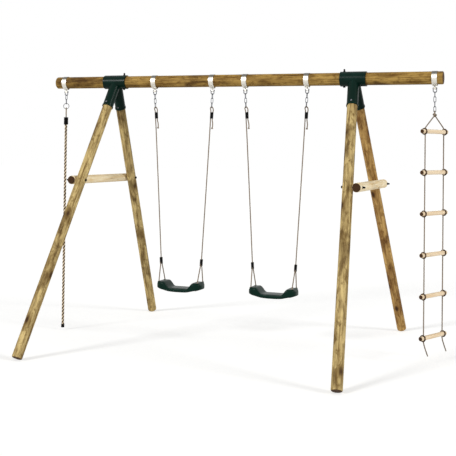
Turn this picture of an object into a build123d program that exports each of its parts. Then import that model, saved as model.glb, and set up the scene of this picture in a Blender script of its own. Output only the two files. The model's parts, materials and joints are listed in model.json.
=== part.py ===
from build123d import *
import math
import os

# A wooden swing set: a round beam on two splayed A-frames of round poles, two swings, a climbing
# rope and a rope ladder. Lengths are in millimetres. The origin is on the floor, below the middle
# of the beam: +X runs along the beam to the ladder, +Y to the rear and +Z up.

# Gaps between pieces
SEAT_GAP = 0.3              # between two pieces that rest on each other
PIN_GAP = 0.1               # radial gap of a hanger pin in its knuckle
OVERCUT = 1                 # of a cutting shape past the faces it cuts
BEND_SHARE = 0.45           # of the shorter straight beside it that a cord's bend takes up

# Beam and A-frames
BEAM_DIAMETER = 100
BEAM_LENGTH = 3340
BEAM_AXIS_HEIGHT = 2155
POLE_ROUNDING = 9           # of a pole's end edges
APEX_X = {"left": -1098, "right": 976}
OUTWARD = {"left": -1, "right": 1}
LEG_DIAMETER = 80
LEG_SPREAD = 1200           # of the foot from the beam's plane, at floor level
LEG_SPLAY = 184             # of the foot outward along the beam, at floor level
LEG_TOP_CLEAR = 3           # of a leg's top from the beam and from the other leg
CROSSBAR_DIAMETER = 70
CROSSBAR_HEIGHT = 1326
CROSSBAR_OVERHANG = {"left": (30, 58), "right": (58, 30)}    # past the front and rear legs' axes

# Brackets that join the poles
BRACKET_LENGTH = 205
BRACKET_WALL = 8.5
LEG_SLEEVE_WALL = 4
LEG_SLEEVE_REACH = 250      # from the beam's axis to the end of a leg sleeve
COLLAR_HEIGHT = 12
COLLAR_RISE = 3

# Fasteners
SCREW_DIAMETER = 6
SCREW_LENGTH = 38
SCREW_HEAD_DIAMETER = 15
SCREW_HEAD_HEIGHT = 4
SCREW_HEAD_ROUNDING = 2.4
SCREW_FROM_SLEEVE_END = 28
BOLT_DIAMETER = 10
BOLT_OFFSET = 75            # of a beam bolt from the apex, towards the middle of the beam
CAP_DIAMETER = 14
CAP_HEIGHT = 18
CAP_ROUNDING = 4.5
NUT_ACROSS_FLATS = 17
NUT_HEIGHT = 8
WASHER_DIAMETER = 22
WASHER_HEIGHT = 2

# Hangers: straps round the beam, each with a knuckle for a shackle's pin
STRAP_WIDTH = 40
STRAP_THICKNESS = 3
KNUCKLE_WIDTH = 18
KNUCKLE_BELOW_BEAM = 30     # from the beam's underside down to the pin
KNUCKLE_BORE = 9
STRAP_PINCH_BELOW_BEAM = 12    # from the beam's underside down to where the strap's ends meet
CLAMP_BOLT_DIAMETER = 5
CLAMP_HEAD_DIAMETER = 9
CLAMP_HEAD_HEIGHT = 4
ROPE_HANGER_X = -1585
LADDER_HANGER_X = 1605
SWING_X = {"left": -471, "right": 339}
SWING_HANGER_SPACING = 522

# Shackles and chains
SHACKLE_BAR = 7
SHACKLE_DROP = 18           # from the pin down to where the bow's curve starts
SHACKLE_EYE_DIAMETER = 15
LINK_BAR = 5
LINK_PITCH = 38
LINK_PLAY = 2               # of a rope in a link's opening, across it
RING_BAR = 5
RING_DIAMETER = 52

# Swings
ROPE_DIAMETER = 10
SWING_LINKS = 3
LUG_SPACING_X = 344         # between the two bridles of a seat
LUG_SPACING_Y = 120         # between the two legs of a bridle
ADJUSTER_TOP = 152          # below the shackle's bow, along the rope
ADJUSTER_SIZE = (26, 17, 52)
ADJUSTER_CORNER = 6
ADJUSTER_MARGIN = 8         # of straight rope past an adjuster's top
EYE_SIDE = (2, 20)          # of an eye's rising side: how far out, and how far below its top
EYE_TAIL_SIDE = (7, 24)     # the same, of its side that comes down to the tail
TAIL_GAP = 1.5              # between a rope and its own tail, side by side
TAIL_CURL = ((0, 10), (10, 48), (6, 80))    # out from the tail's line, and below the adjuster
TAIL_KNOT_DIAMETER = 20
CONNECTOR_SIZE = (19, 30, 54)
CONNECTOR_CORNER = 7
CONNECTOR_ABOVE_LUGS = 190  # from the bridle's ends up to the connector's top
ROPE_DEPTH_IN_CONNECTOR = 22
BRIDLE_BELOW_ROPE = 8
BRIDLE_BEND = 8
BRIDLE_DEPTH_IN_LUG = 20
SEAT_HEIGHT = 390           # of the seat's underside
SEAT_WIDTH = 400
SEAT_DEPTH = 172
SEAT_RISE = 100             # from the underside to the top of the raised ends
SEAT_MIDDLE = 50            # from the underside to the sitting surface
SEAT_MIDDLE_WIDTH = 170
SEAT_SLOPE = 46             # along X, between the sitting surface and the raised ends
SEAT_UNDERSIDE = 190        # flat length of the underside
SEAT_TIP = 60               # height of the ends above the underside, where they turn upright
SEAT_ROUNDING = [200, 30, 20, 26, 40]    # of the outline's corners, from the underside round
SEAT_CORNER = 62
SEAT_RIB_SPACING = 130
SEAT_WALL = 6
SEAT_END_BLOCK = 46         # solid end that holds a pair of lugs

# Climbing rope
CLIMBING_DIAMETER = 23
CLIMBING_CLEAR = 22         # of the rope's end cap above the floor
CLIMBING_LINKS = 2
CLIMBING_CHAIN_TURN = 68    # between one link and the next, about the vertical
CLAMP_DIAMETER = 38
CLAMP_HEIGHT = 63
CLAMP_BELOW_RING = 72       # from the ring's lower side to the clamp's top
CLAMP_RIBS = 5
CLAMP_GROOVE_RADIUS = 3
CLAMP_GROOVE_OUT = 1        # of a groove's middle outside the clamp's surface
CLAMP_EYE_SPACING = 12
CLIMBING_EYE_SIDE = (2, 32)    # of the eye's sides: how far out, and how far below its top
END_CAP_DIAMETER = 28
END_CAP_HEIGHT = 30
END_CAP_FLOOR = 4

# Rope ladder
LADDER_LINKS = 4
LADDER_ANGLE = 67           # of the rungs from the beam's direction
RUNG_DIAMETER = 33
RUNG_LENGTH = 350
RUNG_COUNT = 6
RUNG_SPACING = 309
LOWEST_RUNG_HEIGHT = 201
LADDER_ROPE_SPACING = 264
LADDER_KNOT_DIAMETER = 36
LADDER_KNOT_DROP = 30       # from the top of the rope's eye to the knot's centre
KNOT_SPREAD = 8             # of the rope ends inside the knot, from its middle
LADDER_EYE_PINCH = 1        # of the eye's sides towards each other at the knot
LADDER_SHOULDER_RISE = 22   # of the ropes' bend above the top rung
LADDER_SHOULDER_BEND = 45
LADDER_TAIL_DROP = 30       # of the tails' bend below the lowest rung
LADDER_TAIL_BEND = 60
RUNG_CHAMFER = 2
LADDER_TAIL_CLEAR = 60      # of the rope ends above the floor
LADDER_TAIL_LEAN = 60       # of the rope ends along the rungs

BEAM_RADIUS = BEAM_DIAMETER / 2
LEG_RADIUS = LEG_DIAMETER / 2
ROPE_RADIUS = ROPE_DIAMETER / 2
BEAM_BORE_RADIUS = BEAM_RADIUS + SEAT_GAP
BRACKET_RADIUS = BEAM_BORE_RADIUS + BRACKET_WALL
LEG_SLEEVE_RADIUS = LEG_RADIUS + SEAT_GAP + LEG_SLEEVE_WALL
LEG_LINE = math.hypot(BEAM_AXIS_HEIGHT, LEG_SPLAY)    # of a leg, seen along Y
LEG_TOP_DISTANCE = max(BRACKET_RADIUS, LEG_RADIUS * LEG_LINE / LEG_SPREAD) + LEG_TOP_CLEAR
KNUCKLE_DROP = BEAM_RADIUS + KNUCKLE_BELOW_BEAM
STRAP_PINCH_DROP = BEAM_RADIUS + STRAP_PINCH_BELOW_BEAM
KNUCKLE_RADIUS = KNUCKLE_BORE / 2 + STRAP_THICKNESS
CLAMP_BOLT_DROP = (STRAP_PINCH_DROP + KNUCKLE_DROP - KNUCKLE_RADIUS) / 2
PIN_HEIGHT = BEAM_AXIS_HEIGHT - KNUCKLE_DROP
LINK_BEND = (ROPE_DIAMETER + LINK_PLAY + LINK_BAR) / 2
LINK_REACH = (LINK_PITCH + LINK_BAR) / 2
SHACKLE_ARM = KNUCKLE_WIDTH / 2 + SEAT_GAP + SHACKLE_BAR / 2
BOW_HEIGHT = PIN_HEIGHT - SHACKLE_DROP - SHACKLE_ARM + SHACKLE_BAR / 2
RING_BEND = (RING_DIAMETER - RING_BAR) / 2
EYE_BEND = ROPE_RADIUS + LINK_BAR / 2 + SEAT_GAP
TAIL_SPACING = ROPE_DIAMETER + TAIL_GAP
END_LEVEL = (Align.CENTER, Align.CENTER, Align.MIN)


def rod(start, direction, radius, length):
    """A cylinder that starts at a point and runs in a direction."""
    return Plane(origin=start, z_dir=direction) * Cylinder(radius, length, align=END_LEVEL)


def rounded_pole(start, direction, radius, length):
    """A round pole with its two end edges rounded."""
    pole = Cylinder(radius, length, align=END_LEVEL)
    ends = pole.edges().filter_by(GeomType.CIRCLE)
    return Plane(origin=start, z_dir=direction) * fillet(ends, POLE_ROUNDING)


def nut(start, direction):
    """A hexagon nut whose seat is at the start, with a hole that clears the bolt."""
    profile = RegularPolygon(NUT_ACROSS_FLATS / 2, 6, major_radius=False)
    body = extrude(profile, NUT_HEIGHT) - Cylinder(BOLT_DIAMETER / 2 + SEAT_GAP, 3 * NUT_HEIGHT)
    return Plane(origin=start, z_dir=direction) * body


def capped_bolt(seat, direction, grip):
    """A bolt with a washer and a domed cap: seat is under its head, direction points to the nut."""
    head = Cylinder(WASHER_DIAMETER / 2, WASHER_HEIGHT, align=END_LEVEL)
    cap = Pos(0, 0, WASHER_HEIGHT) * Cylinder(CAP_DIAMETER / 2, CAP_HEIGHT, align=END_LEVEL)
    cap = fillet(cap.edges().group_by(Axis.Z)[-1], CAP_ROUNDING)
    shank_length = grip + NUT_HEIGHT + SEAT_GAP
    shank = Pos(0, 0, -shank_length) * Cylinder(BOLT_DIAMETER / 2, shank_length, align=END_LEVEL)
    return Plane(origin=seat, z_dir=-direction) * (head + cap + shank)


def apex(side):
    return Vector(APEX_X[side], 0, BEAM_AXIS_HEIGHT)


def leg_direction(side, end):
    """The way a leg runs, from the apex to its foot: end is -1 at the front and 1 at the rear."""
    return Vector(OUTWARD[side] * LEG_SPLAY, end * LEG_SPREAD, -BEAM_AXIS_HEIGHT).normalized()


def leg_length(side, end):
    """From the apex to the middle of the foot, whose rounded rim just touches the floor."""
    direction = leg_direction(side, end)
    rim_drop = (LEG_RADIUS - POLE_ROUNDING) * math.hypot(direction.X, direction.Y) + POLE_ROUNDING
    return (BEAM_AXIS_HEIGHT - rim_drop) / -direction.Z + POLE_ROUNDING


def screw_planes(side, end):
    """The two screws of a leg sleeve: planes on the sleeve's surface, facing outwards."""
    direction = leg_direction(side, end)
    along = LEG_SLEEVE_REACH - SCREW_FROM_SLEEVE_END
    normal = Vector(1, 0, 0).cross(direction).normalized()
    middle = apex(side) + direction * along
    reach = LEG_SLEEVE_RADIUS + SEAT_GAP
    return [Plane(origin=middle + normal * turn * reach, z_dir=normal * turn) for turn in (-1, 1)]


def screw_holes(side, end):
    hole = Cylinder(SCREW_DIAMETER / 2 + SEAT_GAP, 2 * (SCREW_LENGTH + SEAT_GAP))
    return [plane * hole for plane in screw_planes(side, end)]


def crossbar_centre(side):
    """The crossbar lies outside the legs, touching them."""
    share = (BEAM_AXIS_HEIGHT - CROSSBAR_HEIGHT) / BEAM_AXIS_HEIGHT
    direction = leg_direction(side, 1)
    apart = LEG_RADIUS + CROSSBAR_DIAMETER / 2 + SEAT_GAP
    offset = share * LEG_SPLAY + apart * math.hypot(direction.X, direction.Z) / abs(direction.Z)
    return Vector(APEX_X[side] + OUTWARD[side] * offset, 0, CROSSBAR_HEIGHT)


def crossbar_bolt(side, end):
    """The seat under the bolt's head, the way it runs and how far it is to the nut."""
    share = (BEAM_AXIS_HEIGHT - CROSSBAR_HEIGHT) / BEAM_AXIS_HEIGHT
    inward = Vector(-OUTWARD[side], 0, 0)
    direction = leg_direction(side, end)
    axis_x = APEX_X[side] + OUTWARD[side] * share * LEG_SPLAY
    leg_side = LEG_RADIUS / math.hypot(direction.Y, direction.Z)
    seat_x = crossbar_centre(side).X - inward.X * (CROSSBAR_DIAMETER / 2 + SEAT_GAP)
    corner_rise = NUT_ACROSS_FLATS * abs(direction.X)
    nut_x = axis_x + inward.X * (leg_side + corner_rise + SEAT_GAP)
    seat = Vector(seat_x, end * share * LEG_SPREAD, CROSSBAR_HEIGHT)
    return seat, inward, abs(nut_x - seat_x)


def beam_bolt(side):
    """The seat of the upright bolt through a bracket and the beam, and its grip."""
    bolt_x = APEX_X[side] - OUTWARD[side] * BOLT_OFFSET
    reach = BRACKET_RADIUS + SEAT_GAP
    return Vector(bolt_x, 0, BEAM_AXIS_HEIGHT + reach), Vector(0, 0, -1), 2 * reach


def bolt_hole(seat, direction, grip):
    start = seat - direction * OVERCUT
    return rod(start, direction, BOLT_DIAMETER / 2 + SEAT_GAP, grip + 2 * OVERCUT)


def beam():
    pole = rounded_pole(
        Vector(-BEAM_LENGTH / 2, 0, BEAM_AXIS_HEIGHT), Vector(1, 0, 0), BEAM_RADIUS, BEAM_LENGTH
    )
    for side in APEX_X:
        pole -= bolt_hole(*beam_bolt(side))
    return pole


def leg(side, end):
    direction = leg_direction(side, end)
    top = apex(side) + direction * LEG_TOP_DISTANCE
    pole = rounded_pole(top, direction, LEG_RADIUS, leg_length(side, end) - LEG_TOP_DISTANCE)
    pole -= screw_holes(side, end)
    return pole - bolt_hole(*crossbar_bolt(side, end))


def crossbar(side):
    past_front, past_rear = CROSSBAR_OVERHANG[side]
    leg_reach = crossbar_bolt(side, 1)[0].Y
    start = crossbar_centre(side) - Vector(0, leg_reach + past_front, 0)
    length = 2 * leg_reach + past_front + past_rear
    pole = rounded_pole(start, Vector(0, 1, 0), CROSSBAR_DIAMETER / 2, length)
    for end in (-1, 1):
        pole -= bolt_hole(*crossbar_bolt(side, end))
    return pole


def bracket(side):
    """A sleeve round the beam with two leg sleeves below it, in one moulding."""
    along_beam = Vector(1, 0, 0)
    start = apex(side) - along_beam * (BRACKET_LENGTH / 2)
    body = rod(start, along_beam, BRACKET_RADIUS, BRACKET_LENGTH)
    for end in (-1, 1):
        direction = leg_direction(side, end)
        collar_start = apex(side) + direction * (LEG_SLEEVE_REACH - COLLAR_HEIGHT)
        body += rod(apex(side), direction, LEG_SLEEVE_RADIUS, LEG_SLEEVE_REACH)
        body += rod(collar_start, direction, LEG_SLEEVE_RADIUS + COLLAR_RISE, COLLAR_HEIGHT)
    bore_start = start - along_beam * OVERCUT
    body -= rod(bore_start, along_beam, BEAM_BORE_RADIUS, BRACKET_LENGTH + 2 * OVERCUT)
    for end in (-1, 1):
        direction = leg_direction(side, end)
        socket = apex(side) + direction * (LEG_TOP_DISTANCE - SEAT_GAP)
        body -= rod(socket, direction, LEG_RADIUS + SEAT_GAP, LEG_SLEEVE_REACH)
        body -= screw_holes(side, end)
    return body - bolt_hole(*beam_bolt(side))


def bracket_screws(side):
    head = Cylinder(SCREW_HEAD_DIAMETER / 2, SCREW_HEAD_HEIGHT, align=END_LEVEL)
    head = fillet(head.edges().group_by(Axis.Z)[-1], SCREW_HEAD_ROUNDING)
    shank = Pos(0, 0, -SCREW_LENGTH) * Cylinder(SCREW_DIAMETER / 2, SCREW_LENGTH, align=END_LEVEL)
    screw = head + shank
    return [plane * screw for end in (-1, 1) for plane in screw_planes(side, end)]


def bolt_and_nut(seat, direction, grip):
    return [capped_bolt(seat, direction, grip), nut(seat + direction * grip, direction)]


def strap_outline(radius, half_width, drop):
    """A circle round the beam drawn down to a point, as a bent strap is."""
    distance = math.hypot(half_width, drop)
    angle = math.acos(radius / distance) + math.atan(half_width / drop)
    touch = (radius * math.sin(angle), -radius * math.cos(angle))
    corners = [touch, (half_width, -drop), (-half_width, -drop), (-touch[0], touch[1])]
    return Circle(radius) + make_face(Polyline(*corners, close=True))


def hanger_strap(hanger_x):
    """A strap bent round the beam, with its two ends side by side down to the knuckle's loop."""
    inside_radius = BEAM_RADIUS + SEAT_GAP
    outline = strap_outline(
        inside_radius + STRAP_THICKNESS, STRAP_THICKNESS + SEAT_GAP / 2, STRAP_PINCH_DROP
    )
    ends = Pos(0, -(STRAP_PINCH_DROP + KNUCKLE_DROP) / 2) * Rectangle(
        2 * STRAP_THICKNESS + SEAT_GAP, KNUCKLE_DROP - STRAP_PINCH_DROP + STRAP_THICKNESS
    )
    slit = Pos(0, -(STRAP_PINCH_DROP + KNUCKLE_DROP) / 2) * Rectangle(
        SEAT_GAP, KNUCKLE_DROP - STRAP_PINCH_DROP + 2 * STRAP_THICKNESS
    )
    inside = strap_outline(inside_radius, SEAT_GAP / 2, STRAP_PINCH_DROP)
    knuckle = Pos(0, -KNUCKLE_DROP) * Circle(KNUCKLE_RADIUS)
    knuckle_bore = Pos(0, -KNUCKLE_DROP) * Circle(KNUCKLE_BORE / 2)
    band_profile = outline - inside
    knuckle_profile = ends + knuckle - slit - inside - knuckle_bore
    across = Plane(origin=(hanger_x, 0, BEAM_AXIS_HEIGHT), x_dir=(0, 1, 0), z_dir=(1, 0, 0))
    band = extrude(band_profile, STRAP_WIDTH / 2, both=True)
    tongue = extrude(knuckle_profile, KNUCKLE_WIDTH / 2, both=True)
    hole = Pos(0, -CLAMP_BOLT_DROP) * Rot(0, 90, 0) * Cylinder(
        CLAMP_BOLT_DIAMETER / 2 + SEAT_GAP, 4 * STRAP_THICKNESS
    )
    return across * (band + tongue - hole)


def clamp_bolt(hanger_x):
    """The small bolt that pinches a strap's two ends together, and its nut."""
    seat = STRAP_THICKNESS + 1.5 * SEAT_GAP
    height = BEAM_AXIS_HEIGHT - CLAMP_BOLT_DROP
    shank_length = 2 * seat + CLAMP_HEAD_HEIGHT
    front = Plane(origin=(hanger_x, -seat, height), z_dir=(0, -1, 0))
    rear = Plane(origin=(hanger_x, seat, height), z_dir=(0, 1, 0))
    head = Cylinder(CLAMP_HEAD_DIAMETER / 2, CLAMP_HEAD_HEIGHT, align=END_LEVEL)
    shank = Pos(0, 0, -shank_length) * Cylinder(
        CLAMP_BOLT_DIAMETER / 2, shank_length, align=END_LEVEL
    )
    hexagon = RegularPolygon(CLAMP_HEAD_DIAMETER / 2, 6, major_radius=True)
    small_nut = extrude(hexagon, CLAMP_HEAD_HEIGHT)
    small_nut -= Cylinder(CLAMP_BOLT_DIAMETER / 2 + SEAT_GAP, 4 * CLAMP_HEAD_HEIGHT)
    return [front * (head + shank), rear * small_nut]


def shackle(hanger_x):
    """A U-shaped bar whose eyes carry the pin that turns in the strap's knuckle."""
    arm = Line((-SHACKLE_ARM, 0), (-SHACKLE_ARM, -SHACKLE_DROP))
    bow = ThreePointArc(
        (-SHACKLE_ARM, -SHACKLE_DROP), (0, -SHACKLE_DROP - SHACKLE_ARM), (SHACKLE_ARM, -SHACKLE_DROP)
    )
    other_arm = Line((SHACKLE_ARM, -SHACKLE_DROP), (SHACKLE_ARM, 0))
    path = Wire([arm.edge(), bow.edge(), other_arm.edge()])
    section = Plane(origin=path @ 0, z_dir=path % 0) * Circle(SHACKLE_BAR / 2)
    body = Plane.XZ * sweep(section, path=path)
    for turn in (-1, 1):
        body += Pos(turn * SHACKLE_ARM, 0, 0) * Rot(0, 90, 0) * Cylinder(
            SHACKLE_EYE_DIAMETER / 2, SHACKLE_BAR
        )
    body += Rot(0, 90, 0) * Cylinder(KNUCKLE_BORE / 2 - PIN_GAP, 2 * SHACKLE_ARM + SHACKLE_BAR)
    return Pos(hanger_x, 0, PIN_HEIGHT) * body


def link():
    """One chain link about its own middle, standing in the XZ plane."""
    straight = LINK_REACH - LINK_BEND
    side_bar = Cylinder(LINK_BAR / 2, 2 * straight)
    bend = Rot(90, 0, 0) * Torus(LINK_BEND, LINK_BAR / 2, major_angle=180, align=None)
    upper = Pos(0, 0, straight) * bend
    lower = Rot(180, 0, 0) * upper
    return upper + lower + Pos(LINK_BEND, 0, 0) * side_bar + Pos(-LINK_BEND, 0, 0) * side_bar


def link_height(index):
    """The middle of a link, below the bow it hangs from."""
    return SEAT_GAP + LINK_BAR / 2 - LINK_REACH - index * (LINK_PITCH - SEAT_GAP)


def chain(count, turn=90):
    """Links hanging one from the next: the first hangs in a shackle's bow."""
    return [Pos(0, 0, link_height(i)) * Rot(0, 0, turn * (i + 1)) * link() for i in range(count)]


def hanging_height(count):
    """Where the inside of a chain's last bend is: what hangs there rests on it."""
    return link_height(count - 1) - LINK_REACH + LINK_BAR / 2


def tube(points, radius, plane, corner_radii=None):
    """A cord's tube along straight runs joined by arcs, drawn in a plane."""
    radii = corner_radii or [corner_radius(*points[i:i + 3]) for i in range(len(points) - 2)]
    path = FilletPolyline(*points, radius=radii) if radii else Line(*points)
    section = Plane(origin=path @ 0, z_dir=path % 0) * Circle(radius)
    return plane * sweep(section, path=path)


def corner_radius(before, corner, after):
    """As large as the two runs that meet at a corner allow."""
    first = Vector(*corner) - Vector(*before)
    second = Vector(*after) - Vector(*corner)
    half_turn = math.radians(first.get_angle(second) / 2)
    return BEND_SHARE * min(first.length, second.length) / math.tan(half_turn)


def hang_frame(hanger_x, lug_x):
    """Along the line from a shackle's bow to a seat's lugs: x along the beam, z up the line."""
    top = Vector(hanger_x, 0, BOW_HEIGHT)
    lugs = Vector(lug_x, 0, SEAT_HEIGHT + SEAT_RISE)
    return Plane(origin=top, x_dir=(1, 0, 0), z_dir=top - lugs), (top - lugs).length


def facing_front(frame):
    """The frame's xz plane, to draw in."""
    return Plane(origin=frame.origin, x_dir=frame.x_dir, z_dir=-frame.y_dir)


def facing_side(frame):
    """The frame's yz plane, to draw in."""
    return Plane(origin=frame.origin, x_dir=frame.y_dir, z_dir=frame.x_dir)


def hanging_chain(frame, hanger_x, count, turn=90):
    """A shackle and the links below it."""
    links = [frame * piece for piece in chain(count, turn)]
    return [shackle(hanger_x)] + links


def rounded_block(size, corner):
    block = Box(*size, align=(Align.CENTER, Align.CENTER, Align.MAX))
    return fillet(block.edges().filter_by(Axis.Z), corner)


def swing_rope_points(connector_top):
    """From the connector up through the adjuster, round the last link and back to the tail's end."""
    eye_top = hanging_height(SWING_LINKS) + SEAT_GAP + ROPE_RADIUS
    adjuster_bottom = -ADJUSTER_TOP - ADJUSTER_SIZE[2]
    side_out, side_down = EYE_SIDE
    tail_side_out, tail_side_down = EYE_TAIL_SIDE
    eye = [
        (0, connector_top - ROPE_DEPTH_IN_CONNECTOR),
        (0, ADJUSTER_MARGIN - ADJUSTER_TOP),
        (-EYE_BEND - side_out, eye_top - side_down),
        (-EYE_BEND, eye_top),
        (EYE_BEND, eye_top),
        (TAIL_SPACING + tail_side_out, eye_top - tail_side_down),
        (TAIL_SPACING, -ADJUSTER_TOP - ADJUSTER_MARGIN),
    ]
    return eye + [(TAIL_SPACING + out, adjuster_bottom - down) for out, down in TAIL_CURL]


def bridle_points(connector_top, drop):
    """From one lug up into the connector and down to the other lug."""
    top = connector_top - ROPE_DEPTH_IN_CONNECTOR - BRIDLE_BELOW_ROPE
    lug = Vector(LUG_SPACING_Y / 2, -drop)
    bend = Vector(BRIDLE_BEND, top)
    foot = lug + (lug - bend).normalized() * BRIDLE_DEPTH_IN_LUG
    return [(-foot.X, foot.Y), (-bend.X, bend.Y), (bend.X, bend.Y), (foot.X, foot.Y)]


def swing_rope_set(hanger_x, lug_x):
    """One side of a swing: its chain, rope, adjuster, connector and bridle."""
    frame, drop = hang_frame(hanger_x, lug_x)
    connector_top = CONNECTOR_ABOVE_LUGS - drop
    front = facing_front(frame)
    side = facing_side(frame)
    rope_points = swing_rope_points(connector_top)
    legs = bridle_points(connector_top, drop)
    knot = Pos(*rope_points[-1]) * Sphere(TAIL_KNOT_DIAMETER / 2)
    rope = tube(rope_points, ROPE_RADIUS, front) + front * knot
    adjuster_place = frame * Pos(TAIL_SPACING / 2, 0, -ADJUSTER_TOP)
    adjuster = adjuster_place * rounded_block(ADJUSTER_SIZE, ADJUSTER_CORNER)
    adjuster -= tube(rope_points, ROPE_RADIUS + SEAT_GAP, front)
    connector = frame * Pos(0, 0, connector_top) * rounded_block(CONNECTOR_SIZE, CONNECTOR_CORNER)
    connector -= tube(rope_points[:3], ROPE_RADIUS + SEAT_GAP, front)
    connector -= tube(legs, ROPE_RADIUS + SEAT_GAP, side)
    return {
        "chain": hanging_chain(frame, hanger_x, SWING_LINKS),
        "rope": [rope],
        "adjuster": [adjuster],
        "connector": [connector],
        "bridle": [tube(legs, ROPE_RADIUS, side)],
        "lug_holes": tube(legs, ROPE_RADIUS + SEAT_GAP, side),
    }


def seat_outline(points, radii):
    """A closed outline, mirrored about the seat's middle, with its corners rounded."""
    mirrored = [(-x, z) for x, z in reversed(points)]
    path = FilletPolyline(*points, *mirrored, radius=radii + radii[::-1], close=True)
    return Plane.XZ * make_face(path)


def seat(lug_holes, middle_x):
    """A moulded seat whose ends rise, hollow below, with ribs across the hollow."""
    half = SEAT_WIDTH / 2
    inner = SEAT_MIDDLE_WIDTH / 2
    shoulder = inner + SEAT_SLOPE
    half_outline = [
        (SEAT_UNDERSIDE / 2, 0),
        (half, SEAT_TIP),
        (half, SEAT_RISE),
        (shoulder, SEAT_RISE),
        (inner, SEAT_MIDDLE),
    ]
    outer = seat_outline(half_outline, SEAT_ROUNDING)
    body = extrude(outer, SEAT_DEPTH / 2, both=True)
    body &= extrude(RectangleRounded(SEAT_WIDTH, SEAT_DEPTH, SEAT_CORNER), SEAT_RISE)
    wall = SEAT_WALL
    block = half - SEAT_END_BLOCK
    roof = SEAT_RISE - wall
    half_hollow = [
        (block, -OVERCUT),
        (block, roof),
        (shoulder + wall / 2, roof),
        (inner + wall / 2, SEAT_MIDDLE - wall),
    ]
    other_half = [(-x, z) for x, z in reversed(half_hollow)]
    hollow_face = Plane.XZ * make_face(Polyline(*half_hollow, *other_half, close=True))
    hollow = extrude(hollow_face, SEAT_DEPTH / 2 - wall, both=True)
    for rib_x in (-SEAT_RIB_SPACING / 2, SEAT_RIB_SPACING / 2):
        hollow -= Pos(rib_x, 0, 0) * Box(wall, SEAT_DEPTH, 2 * SEAT_RISE)
    placed = Pos(middle_x, 0, SEAT_HEIGHT) * (body - hollow)
    for hole in lug_holes:
        placed -= hole
    return placed


def swing(side):
    """All the nodes of one swing, by name."""
    nodes = {}
    holes = []
    for end, turn in (("left", -1), ("right", 1)):
        hanger_x = SWING_X[side] + turn * SWING_HANGER_SPACING / 2
        pieces = swing_rope_set(hanger_x, SWING_X[side] + turn * LUG_SPACING_X / 2)
        holes.append(pieces.pop("lug_holes"))
        for name, solids in pieces.items():
            nodes[f"swing_{side}_{name}_{end}"] = solids
    nodes[f"swing_{side}_seat"] = [seat(holes, SWING_X[side])]
    return nodes


def climbing_rope():
    """A thick rope hanging from a ring by an eye held in a ribbed clamp, with a cap on its end."""
    frame = Plane(origin=(ROPE_HANGER_X, 0, BOW_HEIGHT))
    ring_angle = CLIMBING_CHAIN_TURN * (CLIMBING_LINKS + 1)
    ring_top = hanging_height(CLIMBING_LINKS) + SEAT_GAP + RING_BAR / 2
    ring = Rot(0, 0, ring_angle) * Rot(90, 0, 0) * Torus(RING_BEND, RING_BAR / 2)
    ring = frame * Pos(0, 0, ring_top - RING_BEND) * ring
    ring_low = ring_top - 2 * RING_BEND
    clamp_top = ring_low - RING_BAR / 2 - CLAMP_BELOW_RING
    eye_top = ring_low + RING_BAR / 2 + SEAT_GAP + ROPE_RADIUS
    side_out, side_down = CLIMBING_EYE_SIDE
    half_eye = [
        (-CLAMP_EYE_SPACING / 2, clamp_top - ROPE_DEPTH_IN_CONNECTOR),
        (-EYE_BEND - side_out, eye_top - side_down),
        (-EYE_BEND, eye_top),
    ]
    eye_points = half_eye + [(-x, z) for x, z in reversed(half_eye)]
    eye_plane = facing_side(frame.rotated((0, 0, ring_angle)))
    rope_top = BOW_HEIGHT + clamp_top - ROPE_DEPTH_IN_CONNECTOR - ROPE_RADIUS
    cap_inside = CLIMBING_CLEAR + END_CAP_FLOOR
    rope_bottom = cap_inside + SEAT_GAP
    upright = Vector(0, 0, 1)
    rope_foot = Vector(ROPE_HANGER_X, 0, rope_bottom)
    bore_radius = CLIMBING_DIAMETER / 2 + SEAT_GAP
    clamp = frame * Pos(0, 0, clamp_top - CLAMP_HEIGHT) * Cylinder(
        CLAMP_DIAMETER / 2, CLAMP_HEIGHT, align=END_LEVEL
    )
    for groove in range(1, CLAMP_RIBS):
        height = clamp_top - groove * CLAMP_HEIGHT / CLAMP_RIBS
        groove_bend = CLAMP_DIAMETER / 2 + CLAMP_GROOVE_OUT
        clamp -= frame * Pos(0, 0, height) * Torus(groove_bend, CLAMP_GROOVE_RADIUS)
    clamp -= rod(rope_foot, upright, bore_radius, rope_top - rope_bottom + SEAT_GAP)
    clamp -= tube(eye_points, ROPE_RADIUS + SEAT_GAP, eye_plane)
    cap = rod(Vector(ROPE_HANGER_X, 0, CLIMBING_CLEAR), upright, END_CAP_DIAMETER / 2, END_CAP_HEIGHT)
    cap -= rod(Vector(ROPE_HANGER_X, 0, cap_inside), upright, bore_radius, END_CAP_HEIGHT)
    rope = rod(rope_foot, upright, CLIMBING_DIAMETER / 2, rope_top - rope_bottom)
    links = hanging_chain(frame, ROPE_HANGER_X, CLIMBING_LINKS, CLIMBING_CHAIN_TURN)
    return {
        "climbing_chain": links + [ring],
        "climbing_eye": [tube(eye_points, ROPE_RADIUS, eye_plane)],
        "climbing_clamp": [clamp],
        "climbing_rope": [rope],
        "climbing_end_cap": [cap],
    }


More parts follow.
